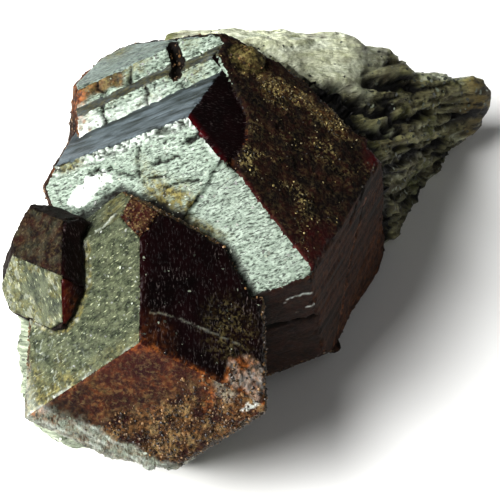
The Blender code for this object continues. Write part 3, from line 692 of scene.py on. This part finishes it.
def dressed_rock():
    """The schist: lens-shaped plates along its layers, with crevices between them darkened by painted shade.
    """
    piece = dense_copy("schist_matrix", "foliated_schist", ROCK_CELL)
    mesh = piece.data
    places, normals = places_of(mesh), fetched(mesh.vertex_normals, "vector", 3).astype(float)
    layer = np.array(FOLIATION) / np.linalg.norm(FOLIATION)
    strike = np.cross(layer, (0, 1, 0))
    strike /= np.linalg.norm(strike)
    dip = np.cross(layer, strike)
    flat = np.column_stack((places @ strike, places @ dip, places @ layer))
    on_edge = np.column_stack((flat[:, 0], flat[:, 2], np.zeros(len(flat))))
    flat[:, 2] += 1.2 * rough(places / 13.0, 90, 2)
    weathered = ease(places[:, 2] + 1.5 * rough(places / 4.0, 88, 3), *WEATHERED_ABOVE)
    weathered *= ease(places[:, 1], *WEATHERED_BEHIND)
    edge_on = ease(1 - np.abs(normals @ layer), 0.05, 0.45) * (1 - 0.85 * weathered)
    plate_depth, plate = cells(flat / PLATE_SIZE, 91)
    leaf_depth, leaf = cells(flat / LEAF_SIZE, 92)
    open_plates = ease(noise(places / 3.5, 93), -0.45, 0.15)
    crevice = ease(plate_depth, 0.20, 0.04) * open_plates * edge_on
    crack = ease(leaf_depth, 0.16, 0.04) * ease(noise(places / 1.8, 94), -0.1, 0.4) * edge_on
    blade = edge_on * drawn(on_edge, PALE_BLADES, 1.0, 100, 0.5)
    cleft = edge_on * drawn(on_edge, DEEP_CLEFTS, 1.15, 102, 0.5) * (1 - blade)
    beside = ease(distance_from(places, "large_garnet") + 0.8 * noise(places / 2.0, 98), 2.6, 0.9)
    away = np.linalg.norm(places - RECESS, axis=1) / RECESS_REACH
    recess = ease(away + 0.35 * rough(flat / (5.0, 5.0, 1.2), 89, 3), 1.0, 0.6)
    height = edge_on * (0.80 * plate + 0.20 * leaf + 0.12 * rough(flat / (3.0, 3.0, 0.5), 95, 3))
    height += (1 - edge_on) * (0.10 * leaf + 0.20 * rough(places / 3.0, 96, 4))
    height += (BLADE_HEIGHT * blade - CREVICE_DEPTH * crevice - CRACK_IN_LEAF * crack - BESIDE_GARNET * beside
               - RECESS_DEPTH * recess - CLEFT_DEPTH * cleft)
    fresh = ease(places[:, 0] + 1.5 * rough(places / 3.0, 99, 2), *FRESH_LEFT_OF)
    height *= ease(places[:, 2], *SMOOTH_BELOW) * ease(places[:, 0], *SMOOTH_RIGHT_OF) * (1 - 0.6 * fresh)
    # Painted shade: crevices, cracks, clefts, the recess and the gap beside the large crystal are darkened.
    shaded_groove = np.clip(crevice + 0.8 * crack + 0.95 * beside + 0.85 * recess + cleft, 0, 1)
    shaded_groove *= (1 - 0.75 * fresh) * (1 - 0.9 * weathered) * (1 - 0.8 * blade)
    fields = {
        "tip": ease(places[:, 0] + 1.5 * rough(places / 3.0, 97, 2), *TIP_RIGHT_OF),
        "fresh": fresh, "shaded_groove": shaded_groove, "edge_on": edge_on,
        "plate": np.clip(0.5 + 0.5 * plate + 0.9 * blade, 0, 1), "leaf": 0.5 + 0.5 * leaf, "layered": flat,
        "scaly": 0.45 * (1 - shaded_groove) * (1 - 0.85 * weathered),
    }
    for field, values in fields.items():
        store(mesh, field, values, "POINT")
    set_within_box(mesh, (places + normals * height[:, None]) * MM)
    return carry(piece, "schist_matrix")


# --- scattered scales and grains ----------------------------------------------------

def sowing_tree(shape, material):
    """Nodes that sow hexagonal scales or small grains over a surface, thickest where an attribute is high."""
    tree = bpy.data.node_groups.new("sow_" + shape, "GeometryNodeTree")
    tree.interface.new_socket("Sown", in_out="OUTPUT", socket_type="NodeSocketGeometry")
    tree.interface.new_socket("Surface", in_out="INPUT", socket_type="NodeSocketGeometry")
    for name in ("Most per square metre", "Spacing", "Smallest", "Largest", "Tilt", "Where"):
        tree.interface.new_socket(name, in_out="INPUT", socket_type="NodeSocketFloat")
    tree.interface.new_socket("Seed", in_out="INPUT", socket_type="NodeSocketInt")
    given = tree.nodes.new("NodeGroupInput").outputs
    points = add(tree, "GeometryNodeDistributePointsOnFaces",
                 {"Mesh": given["Surface"], "Distance Min": given["Spacing"],
                  "Density Max": given["Most per square metre"], "Density Factor": given["Where"],
                  "Seed": given["Seed"]}, distribute_method="POISSON")
    if shape == "scales":
        one = add(tree, "GeometryNodeMeshCylinder", {"Vertices": 6, "Radius": 1.0, "Depth": 0.22})
    else:
        one = add(tree, "GeometryNodeMeshIcoSphere", {"Radius": 1.0, "Subdivisions": 1})
    lean = add(tree, "FunctionNodeRandomValue",
               {"Seed": given["Seed"], "Min": (-1, -1, -math.pi), "Max": (1, 1, math.pi)},
               data_type="FLOAT_VECTOR")
    limit = add(tree, "ShaderNodeCombineXYZ", {"X": given["Tilt"], "Y": given["Tilt"], "Z": 1.0})
    angles = add(tree, "ShaderNodeVectorMath", {0: lean.outputs["Value"], 1: limit.outputs[0]},
                 operation="MULTIPLY")
    turned = add(tree, "FunctionNodeEulerToRotation", {"Euler": angles.outputs[0]})
    stand = add(tree, "FunctionNodeRotateRotation",
                {"Rotation": points.outputs["Rotation"], "Rotate By": turned.outputs[0]},
                rotation_space="LOCAL")
    even = add(tree, "FunctionNodeRandomValue", {"Seed": given["Seed"]}, data_type="FLOAT")
    even_value = next(out for out in even.outputs if out.enabled)
    small_ones = add(tree, "ShaderNodeMath", {0: even_value, 1: 2.0}, operation="POWER")
    size = add(tree, "ShaderNodeMapRange",
               {0: small_ones.outputs[0], 3: given["Smallest"], 4: given["Largest"]})
    stretch = add(tree, "FunctionNodeRandomValue",
                  {"Seed": given["Seed"], "Min": (0.7, 0.6, 0.7), "Max": (1.5, 1.0, 1.0)},
                  data_type="FLOAT_VECTOR")
    scale = add(tree, "ShaderNodeVectorMath", {0: stretch.outputs["Value"], "Scale": size.outputs[0]},
                operation="SCALE")
    sown = add(tree, "GeometryNodeInstanceOnPoints",
               {"Points": points.outputs["Points"], "Instance": one.outputs["Mesh"],
                "Rotation": stand.outputs[0], "Scale": scale.outputs[0]})
    tone = add(tree, "FunctionNodeRandomValue", {}, data_type="FLOAT")
    toned = add(tree, "GeometryNodeStoreNamedAttribute",
                {"Geometry": sown.outputs[0], "Name": "tone"}, data_type="FLOAT", domain="INSTANCE")
    tree.links.new(next(out for out in tone.outputs if out.enabled), toned.inputs["Value"])
    real = add(tree, "GeometryNodeRealizeInstances", {"Geometry": toned.outputs[0]})
    dressed = add(tree, "GeometryNodeSetMaterial", {"Geometry": real.outputs[0], "Material": material})
    end = tree.nodes.new("NodeGroupOutput")
    tree.links.new(dressed.outputs[0], end.inputs["Sown"])
    return tree


def sow(tree, host, slot, name, attribute, most, spacing, smallest, largest, tilt):
    """One mesh of everything sown over a host, at most so many a square millimetre; sizes in mm."""
    carrier = new_object(name + "_carrier", host.data)
    modifier = carrier.modifiers.new("sowing", "NODES")
    modifier.node_group = tree
    wanted = {"Most per square metre": most / MM ** 2, "Spacing": spacing * MM, "Smallest": smallest * MM,
              "Largest": largest * MM, "Tilt": math.radians(tilt), "Seed": SEED}
    for item in tree.interface.items_tree:
        if item.in_out == "INPUT" and item.name in wanted:
            modifier[item.identifier] = wanted[item.name]
        elif item.in_out == "INPUT" and item.name == "Where":
            modifier[item.identifier + "_use_attribute"] = True
            modifier[item.identifier + "_attribute_name"] = attribute
    mesh = settled(carrier)
    bpy.data.objects.remove(carrier)
    piece = new_object(name, mesh)
    set_within_box(mesh, places_of(mesh) * MM)
    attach(piece, "root")
    return piece


# --- materials --------------------------------------------------------------------

def add(tree, kind, inputs=None, **options):
    """Add a node, set its options, and fill or link its inputs."""
    made = tree.nodes.new(kind)
    for option, value in options.items():
        setattr(made, option, value)
    fill(tree, made, inputs or {})
    return made


def fill(tree, node, inputs):
    """Link each input to the socket given for it, or set it to the value given."""
    for place, value in inputs.items():
        if isinstance(value, bpy.types.NodeSocket):
            tree.links.new(value, node.inputs[place])
        else:
            node.inputs[place].default_value = value


def coated(tree, under, over, *shares):
    """Under, covered by over as far as the product of the shares. Colours are sRGB codes or sockets."""
    share = shares[0]
    for further in shares[1:]:
        share = add(tree, "ShaderNodeMath", {0: share, 1: further}, operation="MULTIPLY").outputs[0]
    under, over = (hex_colour(part) if isinstance(part, str) else part for part in (under, over))
    if isinstance(under, tuple) or getattr(under, "type", "VALUE") == "RGBA":
        return add(tree, "ShaderNodeMix", {0: share, 6: under, 7: over}, data_type="RGBA").outputs[2]
    return add(tree, "ShaderNodeMix", {0: share, 2: under, 3: over}, data_type="FLOAT").outputs[0]


def built_up(tree, known, base, *over):
    """A base colour with others over it, each by the product of numbers and of shares known by name."""
    for top, *parts in over:
        base = coated(tree, base, top, *(known.get(part, part) for part in parts))
    return base


def speckle(tree, places, scale, low, high, detail=2.0, stretch=(1, 1, 1)):
    """Soft-edged spots: noise over places in millimetres, stretched, cut between low and high."""
    mapped = add(tree, "ShaderNodeVectorMath", {0: places, 1: stretch}, operation="MULTIPLY")
    spots = add(tree, "ShaderNodeTexNoise", {"Vector": mapped.outputs[0], "Scale": scale, "Detail": detail,
                                             "Roughness": 0.6})
    cut = add(tree, "ShaderNodeMapRange", {0: spots.outputs["Fac"], 1: low, 2: high})
    return cut.outputs[0]


def new_material(name):
    """A material of that name, with its nodes and its shader."""
    material = bpy.data.materials.new(name)
    material.use_nodes = True
    return material, material.node_tree, material.node_tree.nodes["Principled BSDF"]


# Patterns on the garnet: in place or along its striations, how many a millimetre, where the noise is cut,
# its detail, and its stretch.
PATTERNS = {
    "depths": ("place", 0.25, 0.35, 0.7, 3.0),
    "fibres": ("grain", 3.2, 0.57, 0.68, 4.0, (0.45, 1.4, 1)),
    "thick": ("grain", 0.22, 0.40, 0.62, 2.0),
    "gold": ("place", 1.9, 0.47, 0.57, 4.0),
    "browns": ("place", 0.5, 0.42, 0.62, 3.0),
    "leafing": ("place", 0.9, 0.40, 0.60),
    "streaks": ("grain", 2.2, 0.36, 0.64, 5.0, (0.16, 1.2, 1)),
    "sheen": ("grain", 0.5, 0.40, 0.62, 5.0, (0.4, 1.6, 1)),
    "scales": ("grain", 2.8, 0.36, 0.60, 6.0, (0.6, 1.1, 1)),
    "clouds": ("grain", 0.40, 0.36, 0.62, 4.0, (0.6, 1.0, 1)),
    "specks": ("grain", 1.7, 0.60, 0.67, 4.0, (0.55, 1.5, 1)),
    "mottle": ("grain", 0.7, 0.42, 0.58, 5.0, (0.8, 1, 1)),
    "dashes": ("grain", 2.4, 0.55, 0.59, 4.0, (0.45, 1.5, 1)),
    "gravel": ("place", 1.4, 0.38, 0.62, 5.0),
    "reds": ("place", 0.45, 0.50, 0.60, 4.0),
    "cream": ("place", 0.4, 0.52, 0.62, 5.0, (1.3, 1, 1)),
    "earth": ("place", 0.9, 0.30, 0.58, 5.0),
    "clay": ("place", 1.5, 0.4, 0.6, 3.0),
    "iron": ("place", 1.2, 0.4, 0.6, 3.0),
}
# Coats from the bottom up: the parts of their share, roughness, relief pattern (1.0 is level) and its
# depth in millimetres, and a base colour with what lies over it. In order: glassy near-black almandine
# with pale fibres; dull brown crust; gold mica; blue-grey satin film; olive chlorite; silvery mica with
# dark dashes; coarse garnet sand; ochre stain; iron rust; red tint with a painted red glow at thin edges;
# pale patches with painted highlights and glints; painted shade in cracks, gaps and contacts, with dark
# grime.
COATS = (
    ((1.0,), 0.38, "fibres", 0.05, "#060101", ("#160305", "depths"), ("#6f625e", "fibres", "thick", 0.8)),
    (("crust",), 0.85, "gold", 0.10, "#100503", ("#2a1007", "browns"), ("#54452a", "gold", 0.13)),
    (("gilt", "gold"), 0.35, 1.0, 0.1, "#50401e", ("#b9aa72", "leafing")),
    (("slate",), 0.42, "streaks", 0.08, "#252826", ("#434b4c", "streaks"), ("#727d83", "sheen", 0.6)),
    (("chlorite",), 0.40, "scales", 0.10, "#171b13", ("#474e3a", "scales"),
     ("#6c7158", "mottle", 0.55), ("#a9ad8e", "specks", 0.85)),
    (("mica",), 0.42, "scales", 0.02, "#525d52", ("#a3b0a2", "scales"),
     ("#6f7d6f", "clouds", 0.5), ("#1f251d", "dashes", 0.85)),
    (("granular",), 0.45, "gravel", 0.2, "#1f1007", ("#73522f", "gravel"),
     ("#2c0f08", "reds"), ("#927c55", "cream", 0.65)),
    (("ochre", "earth"), 0.6, 1.0, 0.0, "#332d10", ("#7c7444", "clay")),
    (("rust", "earth"), 0.5, 1.0, 0.0, "#38160b", ("#8c5529", "iron")),
    # Red tint, and a painted glow of light through thin garnet edges.
    (("red_tint_and_glow", 0.8), 0.3, 1.0, 0.0, "#46060c"),
    # Pale coatings, and painted highlights and glints.
    (("pale_and_highlight",), 0.35, "scales", 0.05, "#b9c6ba", ("#f2f6f1", "scales")),
    # Painted shade: near-black in cracks, gaps, pits and where crystals touch, with some dark grime.
    (("grime_and_shade",), 0.7, 1.0, 0.0, "#0d0b06"),
)


def garnet_under_mica():
    """Almandine with what grew on it: crust, slate-blue film, chlorite, silvery mica, sand and iron stain."""
    material, tree, surface = new_material("garnet_under_mica")
    where = add(tree, "ShaderNodeTexCoord").outputs["Object"]
    laid = {
        "grain": add(tree, "ShaderNodeAttribute", attribute_name="grain").outputs["Vector"],
        "place": add(tree, "ShaderNodeVectorMath", {0: where, "Scale": 1 / MM}, operation="SCALE").outputs[0],
    }
    known = {name: add(tree, "ShaderNodeAttribute", attribute_name=name).outputs["Fac"] for name in MARKS}
    for name, (along, *settings) in PATTERNS.items():
        known[name] = speckle(tree, laid[along], *settings)
    colour, roughness, height = "#000000", 0.0, 0.0
    for parts, own_roughness, pattern, depth, *colours in COATS:
        shares = [known.get(part, part) for part in parts]
        relief = add(tree, "ShaderNodeMath", {0: known.get(pattern, pattern), 1: depth}, operation="MULTIPLY")
        colour = coated(tree, colour, built_up(tree, known, *colours), *shares)
        roughness = coated(tree, roughness, own_roughness, *shares)
        height = coated(tree, height, relief.outputs[0], *shares)
    bump = add(tree, "ShaderNodeBump", {"Strength": 1.0, "Distance": MM, "Height": height})
    fill(tree, surface, {"Base Color": colour, "Roughness": roughness, "Normal": bump.outputs[0], "IOR": 1.62,
                         "Specular IOR Level": 0.12})
    return material


def mica_schist():
    """Foliated mica schist: grey-green plates with painted shade between them, weathered olive and brown."""
    material, tree, surface = new_material("mica_schist")
    flat = add(tree, "ShaderNodeAttribute", attribute_name="layered").outputs["Vector"]
    known = {name: add(tree, "ShaderNodeAttribute", attribute_name=name).outputs["Fac"]
             for name in ("shaded_groove", "edge_on", "plate", "leaf", "tip", "fresh")}
    known["streaks"] = speckle(tree, flat, 1.2, 0.38, 0.62, 5.0, (0.35, 0.35, 1.6))
    known["bleach"] = speckle(tree, flat, 1.1, 0.36, 0.60, 5.0)
    known["brown"] = speckle(tree, flat, 0.16, 0.52, 0.66, 3.0, (1, 1, 2.5))
    known["olive"] = speckle(tree, flat, 0.11, 0.54, 0.66, 2.0, (1, 1, 2))
    body = built_up(tree, known, "#332b15", ("#a39f72", "plate"), ("#a7a87c", "leaf", 0.5),
                    ("#221d0d", "streaks", 0.6))
    top = built_up(tree, known, "#a9b097", ("#eef3de", "bleach"), ("#cccc9c", "leaf", 0.4))
    needles = built_up(tree, known, "#c3cdb6", ("#76806c", "streaks"))
    colour = built_up(tree, known, top, (body, "edge_on"), ("#3a2a17", "brown", 0.65),
                      ("#5c6128", "olive", 0.7), ("#6e5a24", "tip", 0.6), (needles, "fresh", 0.9),
                      # near-black painted shade in the grooves
                      ("#080603", "shaded_groove"))
    bump = add(tree, "ShaderNodeBump",
               {"Strength": 1.0, "Distance": STREAK_DEPTH * MM, "Height": known["streaks"]})
    fill(tree, surface, {"Base Color": colour, "Roughness": 0.58, "Normal": bump.outputs[0], "IOR": 1.5})
    return material


def toned_material(name, dark, light, roughness):
    """Small loose bits, each of its own tone between dark and light."""
    material, tree, surface = new_material(name)
    tone = add(tree, "ShaderNodeAttribute", attribute_name="tone").outputs["Fac"]
    colour = coated(tree, dark, light, tone, tone)
    fill(tree, surface, {"Base Color": colour, "Roughness": roughness, "IOR": 1.6})
    return material


def pale_card():
    """Matt off-white card: the floor."""
    material, tree, surface = new_material("pale_card")
    fill(tree, surface, {"Base Color": hex_colour("#fafaf8"), "Roughness": 0.9})
    return material


def wear_material(piece, material):
    """Give a piece that one material."""
    piece.data.materials.clear()
    piece.data.materials.append(material)


# --- stage, light and camera --------------------------------------------------------

VIEW_TILT = 36.0              # camera looks down, degrees from straight down
VIEW_DISTANCE = 352.0         # mm, from the place the camera looks at
VIEW_MIDDLE = (0.0, 0.0, 16.6)   # that place before the specimen slid, mm
LENS, SENSOR = 158.4, 36.0    # mm
NEAREST_SEEN, FARTHEST_SEEN = 0.01, 10.0   # metres
FLOOR_HALF = 1.5              # half the floor's side, metres
DEPTH_OF_TONE = 0.85          # the view's gamma: below 1 the shadows come out deeper
STUDIO_GLOW = 0.09            # strength of the even white light from all round
LAMPS = (                     # name, way towards it, distance and size in metres, watts
    ("key", (-0.64, -0.25, 0.73), 0.6, 0.5, 10.5),
    ("fill", (0.35, -0.5, 0.9), 0.9, 0.6, 0.8),
)


def hang_lamp(name, toward, distance, size, power):
    """A round soft lamp that faces the specimen."""
    light = bpy.data.lights.new(name, "AREA")
    light.shape = "DISK"
    light.size = size
    light.energy = power
    lamp = new_object(name, light)
    way = Vector(toward).normalized()
    lamp.location = way * distance
    lamp.rotation_euler = way.to_track_quat("Z", "Y").to_euler()


def make_stage(slide):
    """Pale floor, soft light and the camera; slide is how far the specimen lies from its fitted place."""
    scene = bpy.context.scene
    scene.view_settings.view_transform = "Standard"
    scene.view_settings.gamma = DEPTH_OF_TONE
    floor_mesh = bpy.data.meshes.new("floor")
    bm = bmesh.new()
    bmesh.ops.create_grid(bm, x_segments=1, y_segments=1, size=FLOOR_HALF)
    bm.to_mesh(floor_mesh)
    bm.free()
    floor = new_object("floor", floor_mesh)
    wear_material(floor, pale_card())
    for lamp in LAMPS:
        hang_lamp(*lamp)
    world = bpy.data.worlds.new("studio")
    world.use_nodes = True
    fill(world.node_tree, world.node_tree.nodes["Background"],
         {"Color": hex_colour("#ffffff"), "Strength": STUDIO_GLOW})
    scene.world = world
    tilt = math.radians(VIEW_TILT)
    camera = bpy.data.cameras.new("camera")
    camera.lens = LENS
    camera.sensor_width = SENSOR
    camera.clip_start = NEAREST_SEEN
    camera.clip_end = FARTHEST_SEEN
    eye = new_object("camera", camera)
    eye.rotation_euler = (tilt, 0, 0)
    back = Vector((0, -math.sin(tilt), math.cos(tilt))) * VIEW_DISTANCE
    eye.location = (Vector(VIEW_MIDDLE) + Vector(slide) + back) * MM
    scene.camera = eye


# For each crystal's node: its piece, mesh cell, attitude, middle, faces and look, and what it touches.
CRYSTALS = {
    "large_garnet": ("stepped_crystal", LARGE_CELL, LARGE_ATTITUDE, LARGE_MIDDLE, LARGE_FACES, large_look,
                     "front_garnet"),
    "front_garnet": ("front_crystal", FRONT_CELL, FRONT_ATTITUDE, FRONT_MIDDLE, FRONT_FACES, front_look,
                     "large_garnet", "small_garnet"),
    "small_garnet": ("small_crystal", SMALL_CELL, SMALL_ATTITUDE, SMALL_MIDDLE, SMALL_FACES, small_look),
}
# Each sown shape's material: its name, darkest and lightest colour, and roughness. Muscovite is thin
# pale plates with a satin glint, garnet sand is dull brown grains, and golden mica is bright crumbs.
LOOSE_BITS = {
    "scales": ("muscovite_scale", "#2c3028", "#8a917f", 0.4),
    "sand": ("garnet_sand", "#150804", "#7d5f38", 0.45),
    "gilt": ("golden_mica_crumb", "#1a1208", "#a3945f", 0.45),
}

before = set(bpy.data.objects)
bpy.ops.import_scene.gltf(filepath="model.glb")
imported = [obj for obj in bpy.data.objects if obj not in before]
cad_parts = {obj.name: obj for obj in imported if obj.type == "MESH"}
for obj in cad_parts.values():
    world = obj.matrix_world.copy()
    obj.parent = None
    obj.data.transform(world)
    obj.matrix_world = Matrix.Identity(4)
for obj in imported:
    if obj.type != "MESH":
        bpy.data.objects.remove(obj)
CAD_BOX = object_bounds()


def main():
    """Dress the four solids, sow what lies on them, and set the stage."""
    slide = solved_slide()
    hosts = {}
    for node, (name, cell, attitude, middle, faces, look, *neighbours) in CRYSTALS.items():
        crystal = Crystal(attitude, slide + middle, faces)
        hosts[node] = dressed_crystal(node, name, cell, crystal, look, *neighbours)
    hosts["schist_matrix"] = dressed_rock()
    garnet = garnet_under_mica()
    for node in CRYSTALS:
        wear_material(hosts[node], garnet)
    wear_material(hosts["schist_matrix"], mica_schist())
    trees = {shape: sowing_tree(shape, toned_material(*finish)) for shape, finish in LOOSE_BITS.items()}
    for shape, host, name, attribute, *sizes in SOWN:
        sow(trees[shape], hosts[host], host, name, attribute, *sizes)
    make_stage(slide)


main()
